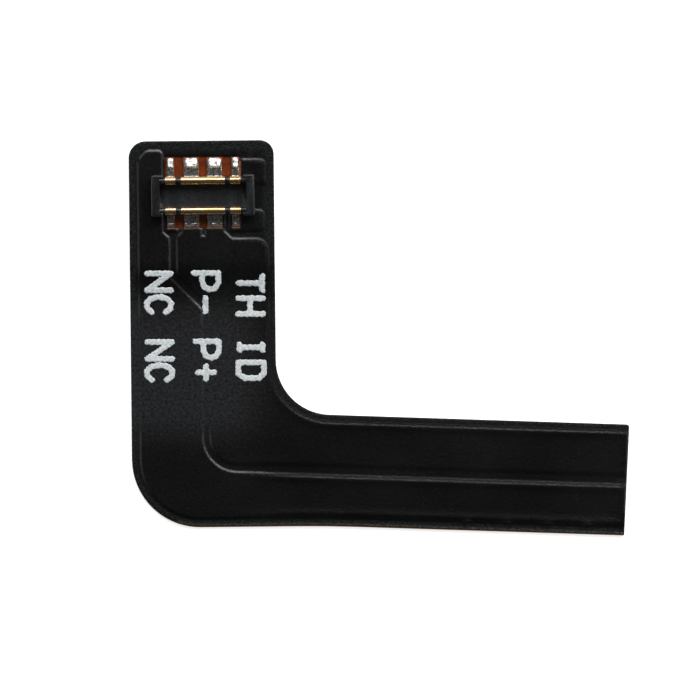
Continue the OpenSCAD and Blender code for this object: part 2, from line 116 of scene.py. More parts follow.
def blackPolyimide():
    # laminated matt polyimide film, pressed hot over the copper: a deep satin black with a fine leathery skin, and a
    # painted pale sheen along the arm
    material, tree, skin, place = newMaterial("blackPolyimide")
    # the real skin is about 0.03 mm, drawn coarser so it shows
    skinSize, speckSize, cloudSize = 0.12 * mm, 0.07 * mm, 3 * mm
    grain = addNode(tree, "ShaderNodeTexNoise", {"Vector": place, "Scale": 1 / skinSize, "Detail": 4, "Roughness": 0.7})
    cloud = addNode(tree, "ShaderNodeTexNoise", {"Vector": place, "Scale": 1 / cloudSize, "Detail": 2})
    mixed = addNode(tree, "ShaderNodeMath", {0: grain.outputs["Fac"], 1: cloud.outputs["Fac"]}, operation="MULTIPLY")
    tone = addNode(tree, "ShaderNodeValToRGB", {"Fac": mixed.outputs[0]})
    dark, pale = tone.color_ramp.elements
    dark.position, dark.color = 0.18, hexColour("#010101")
    pale.position, pale.color = 0.36, hexColour("#090a0b")
    # painted sheen: the arm is painted a faint grey, lighter than the head, for the light its film catches; its limits
    # are in mm
    paintedSheen = dict(top=-3.2, full=-6, foot=-8.9, end=-10.8, side=0.8, out=3.4)
    spot = addNode(tree, "ShaderNodeSeparateXYZ", {"Vector": place})
    fades = [addNode(tree, "ShaderNodeMapRange", {
        "Value": spot.outputs[axis], "From Min": paintedSheen[clear] * mm, "From Max": paintedSheen[sheenFull] * mm},
        interpolation_type="SMOOTHSTEP").outputs[0]
        for axis, clear, sheenFull in (("Y", "top", "full"), ("Y", "end", "foot"), ("X", "out", "side"))]
    mottle = addNode(tree, "ShaderNodeMapRange", {
        "Value": grain.outputs["Fac"], "From Min": 0.36, "From Max": 0.64, "To Min": 0.2, "To Max": 0.78})
    share = fades[0]
    for factor in (*fades[1:], mottle.outputs[0]):
        share = addNode(tree, "ShaderNodeMath", {0: share, 1: factor}, operation="MULTIPLY").outputs[0]
    withPaintedSheen = addNode(tree, "ShaderNodeMix", {"Factor": share}, data_type="RGBA")
    tree.links.new(tone.outputs["Color"], withPaintedSheen.inputs[6])
    # the painted sheen's pale grey
    withPaintedSheen.inputs[7].default_value = hexColour("#2d2e30")
    # over bare film, beside the copper, the skin is speckled with paler grain
    speck = addNode(tree, "ShaderNodeTexNoise", {"Vector": place, "Scale": 1 / speckSize, "Detail": 2})
    speck = addNode(tree, "ShaderNodeMapRange", {"Value": speck.outputs["Fac"], "From Min": 0.42, "From Max": 0.68})
    bare = addNode(tree, "ShaderNodeAttribute", attribute_name="bareMargin")
    bare = addNode(tree, "ShaderNodeMath", {0: bare.outputs["Fac"], 1: speck.outputs[0]}, operation="MULTIPLY")
    speckled = addNode(tree, "ShaderNodeMix", {"Factor": bare.outputs[0]}, data_type="RGBA")
    tree.links.new(withPaintedSheen.outputs[2], speckled.inputs[6])
    speckled.inputs[7].default_value = hexColour("#242727")
    sheen = addNode(tree, "ShaderNodeMapRange", {"Value": grain.outputs["Fac"], "To Min": 0.2, "To Max": 0.31})
    bump = addNode(tree, "ShaderNodeBump", {"Height": grain.outputs["Fac"], "Distance": 0.01 * mm})
    tree.links.new(speckled.outputs[2], skin.inputs["Base Color"])
    tree.links.new(sheen.outputs[0], skin.inputs["Roughness"])
    tree.links.new(bump.outputs["Normal"], skin.inputs["Normal"])
    skin.inputs["IOR"].default_value = 1.5
    return material


def amberPolyimide():
    # cast polyimide film, glossy and clear brown: a warm amber over the dark adhesive behind it, with a painted orange
    # glow where it is clear of the adhesive
    material, tree, skin, place = newMaterial("amberPolyimide")
    streakSize = 0.25 * mm
    streak = addNode(tree, "ShaderNodeTexNoise", {"Vector": place, "Scale": 1 / streakSize, "Detail": 3})
    tone = addNode(tree, "ShaderNodeValToRGB", {"Fac": streak.outputs["Fac"]})
    dark, pale = tone.color_ramp.elements
    dark.position, dark.color = 0.3, hexColour("#4b1b03")
    pale.position, pale.color = 0.75, hexColour("#773408")
    # painted glow: clear of the adhesive, along the foot's edge, a bright orange is painted in for the light that
    # shines through the film
    adhesiveEnd, fullGlowFrom = -3 * mm, -5 * mm
    spot = addNode(tree, "ShaderNodeSeparateXYZ", {"Vector": place})
    clear = addNode(tree, "ShaderNodeMapRange", {
        "Value": spot.outputs["Y"], "From Min": adhesiveEnd, "From Max": fullGlowFrom})
    mixed = addNode(tree, "ShaderNodeMix", {"Factor": clear.outputs[0]}, data_type="RGBA")
    tree.links.new(tone.outputs["Color"], mixed.inputs[6])
    # the painted glow's bright orange
    mixed.inputs[7].default_value = hexColour("#d9842a")
    tree.links.new(mixed.outputs[2], skin.inputs["Base Color"])
    skin.inputs["Roughness"].default_value = 0.3
    skin.inputs["IOR"].default_value = 1.45
    return material


def rolledCopper():
    # rolled copper foil, sheared: a warm salmon metal with fine rolling lines
    material, tree, skin, place = newMaterial("rolledCopper")
    lineWidth, lineStretch = 0.05 * mm, (0.15, 1, 1)
    lines = addNode(tree, "ShaderNodeMapping", {"Vector": place, "Scale": lineStretch})
    grain = addNode(tree, "ShaderNodeTexNoise", {"Vector": lines.outputs[0], "Scale": 1 / lineWidth, "Detail": 3})
    tone = addNode(tree, "ShaderNodeValToRGB", {"Fac": grain.outputs["Fac"]})
    tone.color_ramp.elements[0].color = hexColour("#9a5a38")
    tone.color_ramp.elements[1].color = hexColour("#d98e63")
    tree.links.new(tone.outputs["Color"], skin.inputs["Base Color"])
    skin.inputs["Metallic"].default_value = 1
    skin.inputs["Roughness"].default_value = 0.38
    return material


def glassEpoxy():
    # pressed glass-cloth epoxy sheet, sawn: a dull grey-green black with the cloth's fine check
    material, tree, skin, place = newMaterial("glassEpoxy")
    yarnSpacing = 0.45 * mm
    oneBand = 0.32      # the wave node's scale that gives a band a unit
    inYarns = addNode(tree, "ShaderNodeMapping", {"Vector": place, "Scale": (1 / yarnSpacing,) * 3})
    along = addNode(tree, "ShaderNodeTexWave", {"Vector": inYarns.outputs[0], "Scale": oneBand}, bands_direction="X")
    across = addNode(tree, "ShaderNodeTexWave", {"Vector": inYarns.outputs[0], "Scale": oneBand}, bands_direction="Y")
    cloth = addNode(tree, "ShaderNodeMath", {0: along.outputs["Fac"], 1: across.outputs["Fac"]}, operation="MULTIPLY")
    tone = addNode(tree, "ShaderNodeValToRGB", {"Fac": cloth.outputs[0]})
    tone.color_ramp.elements[0].color = hexColour("#262a25")
    tone.color_ramp.elements[1].color = hexColour("#3c413a")
    bump = addNode(tree, "ShaderNodeBump", {"Height": cloth.outputs[0], "Strength": 0.3, "Distance": 0.004 * mm})
    tree.links.new(tone.outputs["Color"], skin.inputs["Base Color"])
    tree.links.new(bump.outputs["Normal"], skin.inputs["Normal"])
    skin.inputs["Roughness"].default_value = 0.55
    return material


def mouldedPolymer():
    # injection-moulded liquid-crystal polymer, glass filled: dark grey with a rough flow-marked skin
    material, tree, skin, place = newMaterial("mouldedPolymer")
    gritSize = 0.09 * mm
    grit = addNode(tree, "ShaderNodeTexNoise", {"Vector": place, "Scale": 1 / gritSize, "Detail": 5, "Roughness": 0.7})
    tone = addNode(tree, "ShaderNodeValToRGB", {"Fac": grit.outputs["Fac"]})
    dark, pale = tone.color_ramp.elements
    dark.position, dark.color = 0.4, hexColour("#010101")
    pale.position, pale.color = 0.64, hexColour("#15191c")
    bump = addNode(tree, "ShaderNodeBump", {"Height": grit.outputs["Fac"], "Distance": 0.012 * mm})
    tree.links.new(tone.outputs["Color"], skin.inputs["Base Color"])
    tree.links.new(bump.outputs["Normal"], skin.inputs["Normal"])
    skin.inputs["Roughness"].default_value = 0.31
    return material


def goldPlate():
    # thin gold over stamped copper alloy: a bright yellow crest with brown drawing lines, tinned grey at the feet
    material, tree, skin, place = newMaterial("goldPlate")
    lineWidth, lineStretch, blotchSize = 0.03 * mm, (0.04, 1, 1), 0.08 * mm
    drawn = addNode(tree, "ShaderNodeMapping", {"Vector": place, "Scale": lineStretch})
    lines = addNode(tree, "ShaderNodeTexNoise", {"Vector": drawn.outputs[0], "Scale": 1 / lineWidth, "Detail": 3})
    gold = addNode(tree, "ShaderNodeValToRGB", {"Fac": lines.outputs["Fac"]})
    dark, pale = gold.color_ramp.elements
    dark.position, dark.color = 0.3, hexColour("#b07a3c")
    pale.position, pale.color = 0.65, hexColour("#e6cda4")
    blotch = addNode(tree, "ShaderNodeTexNoise", {"Vector": place, "Scale": 1 / blotchSize, "Detail": 4})
    tin = addNode(tree, "ShaderNodeValToRGB", {"Fac": blotch.outputs["Fac"]})
    dark, pale = tin.color_ramp.elements
    dark.position, dark.color = 0.35, hexColour("#565652")
    pale.position, pale.color = 0.7, hexColour("#e2e2df")
    goldAbove, tinBelow = 0.6 * mm, 0.5 * mm
    spot = addNode(tree, "ShaderNodeSeparateXYZ", {"Vector": place})
    height = addNode(tree, "ShaderNodeMapRange", {
        "Value": spot.outputs["Z"], "From Min": goldAbove, "From Max": tinBelow})
    mixed = addNode(tree, "ShaderNodeMix", {"Factor": height.outputs[0]}, data_type="RGBA")
    tree.links.new(gold.outputs["Color"], mixed.inputs[6])
    tree.links.new(tin.outputs["Color"], mixed.inputs[7])
    tree.links.new(mixed.outputs[2], skin.inputs["Base Color"])
    bump = addNode(tree, "ShaderNodeBump", {"Height": lines.outputs["Fac"], "Strength": 0.25, "Distance": 0.004 * mm})
    tree.links.new(bump.outputs["Normal"], skin.inputs["Normal"])
    skin.inputs["Metallic"].default_value = 1
    skin.inputs["Roughness"].default_value = 0.27
    return material


def reflowedTin():
    # reflowed tin solder: a bright, slightly puckered silver bead
    material, tree, skin, place = newMaterial("reflowedTin")
    puckerSize = 0.12 * mm
    pucker = addNode(tree, "ShaderNodeTexNoise", {"Vector": place, "Scale": 1 / puckerSize, "Detail": 4})
    tone = addNode(tree, "ShaderNodeValToRGB", {"Fac": pucker.outputs["Fac"]})
    dark, pale = tone.color_ramp.elements
    dark.position, dark.color = 0.32, hexColour("#83837f")
    pale.position, pale.color = 0.5, hexColour("#d2d2cf")
    bump = addNode(tree, "ShaderNodeBump", {"Height": pucker.outputs["Fac"], "Distance": 0.026 * mm})
    tree.links.new(tone.outputs["Color"], skin.inputs["Base Color"])
    tree.links.new(bump.outputs["Normal"], skin.inputs["Normal"])
    skin.inputs["Metallic"].default_value = 1
    skin.inputs["Roughness"].default_value = 0.42
    return material


def screenInk():
    # screen-printed white epoxy ink: a chalky, slightly cool white that stands a little proud
    material, tree, skin, place = newMaterial("screenInk")
    chalkSize = 0.09 * mm
    chalk = addNode(tree, "ShaderNodeTexNoise", {"Vector": place, "Scale": 1 / chalkSize, "Detail": 4})
    tone = addNode(tree, "ShaderNodeValToRGB", {"Fac": chalk.outputs["Fac"]})
    dark, pale = tone.color_ramp.elements
    dark.position, dark.color = 0.3, hexColour("#aab0b3")
    pale.position, pale.color = 0.65, hexColour("#dadfe2")
    bump = addNode(tree, "ShaderNodeBump", {"Height": chalk.outputs["Fac"], "Strength": 0.4, "Distance": 0.006 * mm})
    tree.links.new(tone.outputs["Color"], skin.inputs["Base Color"])
    tree.links.new(bump.outputs["Normal"], skin.inputs["Normal"])
    skin.inputs["Roughness"].default_value = 0.6
    return material


finish = dict(
    coverlay=blackPolyimide(), base_film=amberPolyimide(), stiffener=glassEpoxy(), copper=rolledCopper(),
    housing=mouldedPolymer(), contact=goldPlate(), solder=reflowedTin(), legend=screenInk(),
)
print("materials made")


# Meshes: a crisp piece shades flat past the first angle, a rounded one only at its borders
crispAngle, roundedAngle = 40, 80


def closedShell(name, slot, upper, lower, faces, smoothAngle=crispAngle):
    # a closed piece from an upper skin, the same skin lower down, and walls along the skin's borders
    count = len(upper)
    sides = {}
    for face in faces:
        for a, b in zip(face, (*face[1:], face[0])):
            sides[(a, b)] = True
    walls = [(b, a, a + count, b + count) for a, b in sides if (b, a) not in sides]
    backs = [tuple(v + count for v in reversed(face)) for face in faces]
    mesh = bpy.data.meshes.new(name)
    points = np.concatenate([upper, lower]) * mm
    mesh.from_pydata(points.tolist(), [], [*faces, *backs, *walls])
    mesh.shade_smooth()
    mesh.set_sharp_from_angle(angle=math.radians(smoothAngle))
    piece = bpy.data.objects.new(name, mesh)
    bpy.context.scene.collection.objects.link(piece)
    mesh.materials.append(finish[slot])
    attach(piece, "root")
    return piece


def topOutlines(name, leastRise=0.3):
    # closed outlines of a node's upper side, in mm, from the faces of its CAD mesh that look up
    mesh = nodes[name].data
    points = [tuple(round(c / mm, 4) for c in v.co[:2]) for v in mesh.vertices]
    sides = {}
    for face in mesh.polygons:
        if face.normal.z > leastRise:
            ring = [points[v] for v in face.vertices]
            for a, b in zip(ring, ring[1:] + ring[:1]):
                if a != b:
                    sides[(a, b)] = True
    follow = {a: b for a, b in sides if (b, a) not in sides}
    loops = []
    while follow:
        start, point = follow.popitem()
        loop = [start]
        while point != start and point in follow:
            loop.append(point)
            point = follow.pop(point)
        loops.append(np.array(loop))
    return loops


def edgeDistance(points, loops):
    # distance from each point to the nearest outline, and whether it lies inside
    nearest = np.full(len(points), 1e9)
    inside = np.zeros(len(points), bool)
    for loop in loops:
        starts, ends = loop, np.roll(loop, -1, 0)
        for a, b in zip(starts, ends):
            run = b - a
            share = np.clip(((points - a) @ run) / max(run @ run, 1e-12), 0, 1)
            gap = points - a - share[:, None] * run
            nearest = np.minimum(nearest, np.hypot(gap[:, 0], gap[:, 1]))
            crosses = (a[1] > points[:, 1]) != (b[1] > points[:, 1])
            if crosses.any():
                at = a[0] + (points[:, 1] - a[1]) * run[0] / (run[1] if run[1] else 1)
                inside ^= crosses & (points[:, 0] < at)
    return nearest, inside


def signedDistance(points, loops):
    # negative inside the outlines
    nearest, inside = edgeDistance(points, loops)
    return np.where(inside, -nearest, nearest)


def outlineTurn(loop):
    # 1 for an outline that runs anticlockwise, -1 for clockwise
    x, y = loop[:, 0], loop[:, 1]
    return math.copysign(1, float(np.sum(x * np.roll(y, -1) - np.roll(x, -1) * y)))


def spread(loop, spacing):
    # the outline's points with more between them
    dense = []
    for a, b in zip(loop, np.roll(loop, -1, 0)):
        parts = max(1, math.ceil(np.hypot(*(b - a)) / spacing))
        dense += [a + (b - a) * k / parts for k in range(parts)]
    return np.array(dense)


def besideOutline(loop, offset, spacing):
    # points along an outline, moved off it to the right of its run
    moved = []
    for a, b in zip(loop, np.roll(loop, -1, 0)):
        length = np.hypot(*(b - a))
        if length < 1e-6:
            continue
        side = np.array([b[1] - a[1], a[0] - b[0]]) / length
        parts = max(1, math.ceil(length / spacing))
        moved += [a + (b - a) * (k + 0.5) / parts + side * offset for k in range(parts)]
    return np.array(moved)


def eased(t):
    t = np.clip(t, 0, 1)
    return t * t * (3 - 2 * t)


# The coverlay over the copper, in mm: heights above the film's underside, the drape at the copper's edges,
# the knife's lip along the foot, and the ridge beside the tail's grooves
film = dict(copperLow=0.12, copperHigh=0.19, cover=0.016, relief=0.034, drape=0.16, edgeRound=0.01, edgeRun=0.05,
            lip=0.026, lipRun=0.1, ridge=0.02, ridgeAt=0.07, ridgeRun=0.3)
# where the film steps down from the stiffener, below the plug's middle
stepDown = dict(start=2.7, run=1.8)
# the tail's edge and groove, how far adhesive has filled it and the margin above it, and the groove's gentle upper side
tail = dict(start=5, foot=-13.8, seamAt=2.28, dip=2.45, fadeFrom=1, fadeRun=3, grooveFill=0.4, marginFill=0.2,
            marginAt=0.8, marginRun=0.6, gentleStart=0.12, gentleRun=0.23, seamRun=0.06, gentleEnd=0.1)
# the arm's grooves, filled in the same way
arm = dict(top=-4.7, foot=-10.2, ease=0.8, fill=0.5)
# above the upper window the coverlay lies flush
flushPatch = dict(half=1.68, sideRun=0.08, below=0.1)
# raised spots pressed into the tail near its lower edge, in pixels of the photograph, their size in mm
raisedSpots = dict(x=(467, 507, 547, 587), y=(522, 523, 524, 525), height=0.035, along=0.2, across=0.11)
copperNodes = ["conductor_minus", "conductor_plus", "island_th", "island_id", "pad_nc_upper", "pad_nc_lower"]


def bed(y):
    # how high the film's underside lies
    lift = nodeBox("stiffener")[1][2]
    return lift * (1 - eased((-y - stepDown["start"]) / stepDown["run"]))


def bigLoops(name, smallBore=0.3):
    # a node's outlines without its small bores
    return [loop for loop in topOutlines(name) if np.ptp(loop, 0).max() > smallBore]


copperLoops = [loop for name in copperNodes for loop in bigLoops(name)]
print("copper outlines read:", [len(loop) for loop in copperLoops])


def surfaceHeight(points):
    # upper side of the draped coverlay, and each point's distance from the copper, negative over it
    x, y = points[:, 0], points[:, 1]
    off = signedDistance(points, copperLoops)
    seamY = tail["foot"] + tail["seamAt"] - (x - tail["start"]) * math.tan(math.radians(tail["dip"]))
    onTail = eased((x - tail["fadeFrom"]) / tail["fadeRun"])
    onArm = eased((arm["top"] - y) / arm["ease"]) * eased((y - arm["foot"]) / arm["ease"])
    onMargin = eased((y - seamY - tail["marginAt"]) / tail["marginRun"])
    filled = onTail * (tail["grooveFill"] + tail["marginFill"] * onMargin) + arm["fill"] * (1 - onTail) * onArm
    windowTop = nodeBox("solder_minus_left")[1][1]
    flush = (eased((flushPatch["half"] - np.abs(x)) / flushPatch["sideRun"])
             * eased((y - windowTop + flushPatch["below"]) / flushPatch["below"]))
    # the tail's groove falls gently from its upper side and rises sharply to its lower one
    upperSide = (onTail * eased((y - seamY) / tail["seamRun"])
                 * eased((tail["marginAt"] - y + seamY) / tail["gentleEnd"]))
    fall = (1 - upperSide) * eased(off / film["drape"])
    fall += upperSide * eased((off + tail["gentleStart"]) / tail["gentleRun"])
    relief = film["relief"] * (1 - (1 - filled) * np.maximum(fall, flush))
    ridge = eased(-off / film["ridgeAt"]) * (1 - eased((-off - film["ridgeAt"]) / film["ridgeRun"]))
    relief += onTail * (1 - upperSide) * film["ridge"] * ridge
    for spotX, spotY in zip(raisedSpots["x"], raisedSpots["y"]):
        centre = fromPixel(spotX, spotY)
        relief += raisedSpots["height"] * np.exp(-((x - centre[0]) / raisedSpots["along"]) ** 2
                                                 - ((y - centre[1]) / raisedSpots["across"]) ** 2)
    return bed(y) + film["copperHigh"] + film["cover"] + relief, off


def windowLoops():
    # the two openings round the solder tails, from the pads' and solder's places
    reach = dict(upperSide=0.08, lowerSide=0.03, beyond=0.04, near=0.6, web=0.03)
    upper = nodeBox("solder_minus_left")[1][1] + reach["beyond"]
    lower = nodeBox("solder_plus_left")[0][1] - reach["beyond"]
    pads = -nodeBox("pad_nc_upper")[0][0]
    half, lowerHalf = pads + reach["upperSide"], pads + reach["lowerSide"]
    webLeft = nodeBox("solder_plus_right")[1][0] + reach["web"]
    webRight = nodeBox("solder_id")[0][0] - reach["web"]
    boxes = [(-half, reach["near"], half, upper), (-lowerHalf, lower, webLeft, -reach["near"]),
             (webRight, lower, lowerHalf, -reach["near"])]
    return [np.array([(x0, y0), (x1, y0), (x1, y1), (x0, y1)]) for x0, y0, x1, y1 in boxes]


def coverlayOutline():
    # the film's outline, with the coverlay laid a hair towards the head along the foot's edge
    laid = dict(off=0.045, facing=0.05, spacing=0.1)
    loop = bigLoops("base_film")[0]
    before, after = np.roll(loop, 1, 0), np.roll(loop, -1, 0)
    run = after - before
    facesDown = -run[:, 0] / np.hypot(run[:, 0], run[:, 1]) * outlineTurn(loop)
    moved = loop.copy()
    moved[facesDown < -laid["facing"], 1] += laid["off"]
    return spread(moved, laid["spacing"])


def footShare(points):
    # 1 near the foot's lower edge, 0 at the film's other edges
    band = dict(depth=1.6, depthRun=0.6, left=-2.4, leftRun=1.2)
    x, y = points[:, 0], points[:, 1]
    edgeY = tail["foot"] - np.maximum(x - tail["start"], 0) * math.tan(math.radians(tail["dip"]))
    return eased((band["depth"] - (y - edgeY)) / band["depthRun"]) * eased((x - band["left"]) / band["leftRun"])


def coverlayPoints(outline, windows):
    # points inside the coverlay, finest where it bends over the copper's edges and along its own
    detail = dict(grid=0.2, rowShare=0.87, left=-3.1, right=17.7, low=-14.4, high=2.3, bandMiddle=-0.09, bandHalf=0.3,
                  ring=0.07, ringSlack=0.006, offsets=(-0.34, -0.25, -0.17, -0.1, -0.05, 0.0, 0.03, 0.06, 0.09, 0.12,
                                                       0.15, 0.18),
                  rims=(0.02, 0.05, 0.1, 0.16), rimStep=0.1, outlineGap=0.18, windowGap=0.065, cell=0.016,
                  spotLength=(-0.45, 0.46, 0.07), spotWidth=(-0.25, 0.26, 0.05))
    columns = np.arange(detail["left"], detail["right"], detail["grid"])
    rows = np.arange(detail["low"], detail["high"], detail["grid"] * detail["rowShare"])
    grid = np.array([(x + (0.5 * detail["grid"] if row % 2 else 0), y) for row, y in enumerate(rows) for x in columns])
    grid = grid[np.abs(signedDistance(grid, copperLoops) - detail["bandMiddle"]) > detail["bandHalf"]]
    spots = [fromPixel(x, y) + (along, across) for x, y in zip(raisedSpots["x"], raisedSpots["y"])
             for along in np.arange(*detail["spotLength"]) for across in np.arange(*detail["spotWidth"])]
    rings = []
    for loop in copperLoops:
        for offset in detail["offsets"]:
            side = besideOutline(loop, offset * outlineTurn(loop), detail["ring"])
            rings.append(side[np.abs(signedDistance(side, copperLoops) - offset) < detail["ringSlack"]])
    inner = np.concatenate([grid, spots, *rings])
    gap, inFilm = edgeDistance(inner, [outline])
    windowGap, inWindow = edgeDistance(inner, windows)
    inner = inner[inFilm & ~inWindow & (gap > detail["outlineGap"]) & (windowGap > detail["windowGap"])]
    rims = np.concatenate([besideOutline(loop, sign * offset * outlineTurn(loop), detail["rimStep"])
                           for offset in detail["rims"] for loop, sign in zip([outline, *windows], (-1, 1, 1, 1))])
    rims = rims[edgeDistance(rims, [outline])[1] & ~edgeDistance(rims, windows)[1]]
    inner = np.concatenate([rims, inner])
    kept = np.unique(np.round(inner / detail["cell"]).astype(int), axis=0, return_index=True)[1]
    return inner[np.sort(kept)]


def coverlaySheet(outline, windows):
    # flat triangles over the coverlay, all the same way up
    points, edges = [], []
    for loop in [outline, *windows]:
        first = len(points)
        points += [Vector(p) for p in loop]
        edges += [(first + k, first + (k + 1) % len(loop)) for k in range(len(loop))]
    points += [Vector(p) for p in coverlayPoints(outline, windows)]
    insideOnly, nearEnough = 1, 1e-5
    found = geometry.delaunay_2d_cdt(points, edges, [], insideOnly, nearEnough)
    flat = np.array([tuple(p) for p in found[0]])
    faces = np.array([tuple(f) for f in found[2]])
    middles = flat[faces].mean(1)
    faces = faces[edgeDistance(middles, [outline])[1] & ~edgeDistance(middles, windows)[1]]
    a, b, c = (flat[faces[:, k]] for k in range(3))
    turned = (b[:, 0] - a[:, 0]) * (c[:, 1] - a[:, 1]) - (b[:, 1] - a[:, 1]) * (c[:, 0] - a[:, 0]) < 0
    faces[turned] = faces[turned][:, ::-1]
    used = np.unique(faces)
    lookup = np.full(len(flat), -1)
    lookup[used] = np.arange(len(used))
    return flat[used], lookup[faces]


def topCoverlay():
    # black coverlay, draped over the copper's edges; an attribute says where it lies on bare film
    bareFilm = dict(start=0.1, run=0.15, edgeBand=0.5, bandRun=0.1, windowGap=0.3)
    overCopper, farFromFoot, windowSpacing = 0.005, 10, 0.08
    outline, windows = coverlayOutline(), [spread(loop, windowSpacing) for loop in windowLoops()]
    flat, faces = coverlaySheet(outline, windows)
    top, off = surfaceHeight(flat)
    border = edgeDistance(flat, [outline, *windows])[0]
    top -= film["edgeRound"] * (1 - eased(border / film["edgeRun"]))
    # the knife left a lip along the foot
    foot = edgeDistance(flat, [outline])[0] + farFromFoot * (1 - footShare(flat))
    top += film["lip"] * (1 - eased(foot / film["lipRun"]))
    low = bed(flat[:, 1]) + np.where(off < overCopper, film["copperHigh"], film["copperLow"])
    piece = closedShell("coverlay_draped", "coverlay", np.column_stack([flat, top]),
                        np.column_stack([flat, low]), [tuple(f) for f in faces.tolist()])
    awayFromFoot = eased((foot - bareFilm["edgeBand"]) / bareFilm["bandRun"])
    awayFromBorder = 1 - eased((bareFilm["edgeBand"] - border) / bareFilm["bandRun"])
    margin = eased((off - bareFilm["start"]) / bareFilm["run"]) * (1 - awayFromFoot * awayFromBorder)
    margin *= edgeDistance(flat, windowLoops())[0] > bareFilm["windowGap"]
    bare = piece.data.attributes.new("bareMargin", "FLOAT", "POINT")
    bare.data.foreach_set("value", np.tile(margin, 2))
    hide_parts("top_coverlay")
    print("coverlay:", len(faces), "triangles on its upper side")


topCoverlay()


def bentStrip(name, node, side, tails, tailWidth):
    # gold-plated strip bent over a wall of the plug, cut from one flat blank: tails first, then the full width
    strip = dict(thick=0.07, wall=0.35, depth=0.46, crestRadius=0.13, heelRadius=0.07, arcParts=10, edge=0.012,
                 sharpEdge=50)
    low, high = nodeBox(node)
    reach = sorted((abs(low[1]), abs(high[1])))
    half, foot, crest = strip["thick"] / 2, low[2] + strip["thick"] / 2, high[2] - strip["thick"] / 2
    leg = reach[0] + half
    riser = leg + strip["wall"] - strip["thick"]
    floorTop = high[2] - strip["depth"]
    corners = [((reach[1], foot), 0), ((riser, foot), strip["heelRadius"]), ((riser, crest), strip["crestRadius"]),
               ((leg, crest), strip["crestRadius"]), ((leg, floorTop), 0)]
    line = []
    for k, (corner, radius) in enumerate(corners):
        corner = np.array(corner)
        if not radius:
            line.append(corner)
            continue
        into = corner - np.array(corners[k - 1][0])
        out = np.array(corners[k + 1][0]) - corner
        into, out = into / np.hypot(*into), out / np.hypot(*out)
        centre = corner - into * radius + out * radius
        line += [centre + radius * (into * math.sin(a) - out * math.cos(a))
                 for a in (math.pi / 2 * n / strip["arcParts"] for n in range(strip["arcParts"] + 1))]
    line = np.array(line)
    heading = np.gradient(line, axis=0)
    heading /= np.hypot(heading[:, 0], heading[:, 1])[:, None]
    normal = np.column_stack([-heading[:, 1], heading[:, 0]])
    outer, inner = line + normal * half, line - normal * half
    fullFrom = 1 + strip["arcParts"]    # the strip is full width from the top of the heel
    centreX = (low[0] + high[0]) / 2
    cuts = sorted({low[0], high[0], *(centreX + t + s * tailWidth / 2 for t in tails for s in (-1, 1))})
    upper, lower, faces, index = [], [], [], {}

    def corner(i, j):
        if (i, j) not in index:
            index[(i, j)] = len(upper)
            upper.append((cuts[i], side * outer[j][0], outer[j][1]))
            lower.append((cuts[i], side * inner[j][0], inner[j][1]))
        return index[(i, j)]

    for j in range(len(line) - 1):
        for i in range(len(cuts) - 1):
            middle = (cuts[i] + cuts[i + 1]) / 2 - centreX
            onTail = any(abs(middle - t) < tailWidth / 2 for t in tails)
            if j >= fullFrom or onTail:
                quad = (corner(i, j), corner(i + 1, j), corner(i + 1, j + 1), corner(i, j + 1))
                faces.append(quad if side > 0 else quad[::-1])
    piece = closedShell(name, "contact", np.array(upper), np.array(lower), faces)
    bevel = piece.modifiers.new("softEdges", "BEVEL")
    bevel.width, bevel.segments, bevel.angle_limit = strip["edge"] * mm, 2, math.radians(strip["sharpEdge"])
    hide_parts(node)
    return piece


signalTails = dict(tails=[0], tailWidth=0.28)
powerTails = dict(tails=[-0.485, 0.485], tailWidth=0.6)
for row, side, power, signal in (("upper", 1, "minus", "th"), ("lower", -1, "plus", "id")):
    bentStrip(f"strip_nc_{row}", f"contact_nc_{row}", side, **signalTails)
    bentStrip(f"strip_{power}", f"contact_{power}", side, **powerTails)
    bentStrip(f"strip_{signal}", f"contact_{signal}", side, **signalTails)
print("contacts bent")


def snappedGrid(grid, columns, away):
    # the cells of a grid that lie inside a shape, with the outermost points drawn onto its edge
    gap = away(grid)
    rows = len(grid) // columns
    cells = [(k, k + 1, k + 1 + columns, k + columns)
             for r in range(rows - 1) for k in range(r * columns, (r + 1) * columns - 1)]
    cells = [cell for cell in cells if sum(gap[v] < 0 for v in cell) >= 2]
    used = sorted({v for cell in cells for v in cell})
    where = {v: k for k, v in enumerate(used)}
    points = grid[used].copy()
    sides = {}
    for cell in cells:
        for a, b in zip(cell, (*cell[1:], cell[0])):
            sides[(a, b)] = True
    rim = sorted({where[v] for a, b in sides if (b, a) not in sides for v in (a, b)})
    nudge, passes, leastSlope = 1e-4, 3, 0.25
    for repeat in range(passes):
        here = points[rim]
        d = away(here)
        slope = np.column_stack([(away(here + (nudge, 0)) - d) / nudge, (away(here + (0, nudge)) - d) / nudge])
        points[rim] = here - d[:, None] * slope / np.maximum((slope ** 2).sum(1), leastSlope)[:, None]
    return points, [tuple(where[v] for v in cell) for cell in cells]


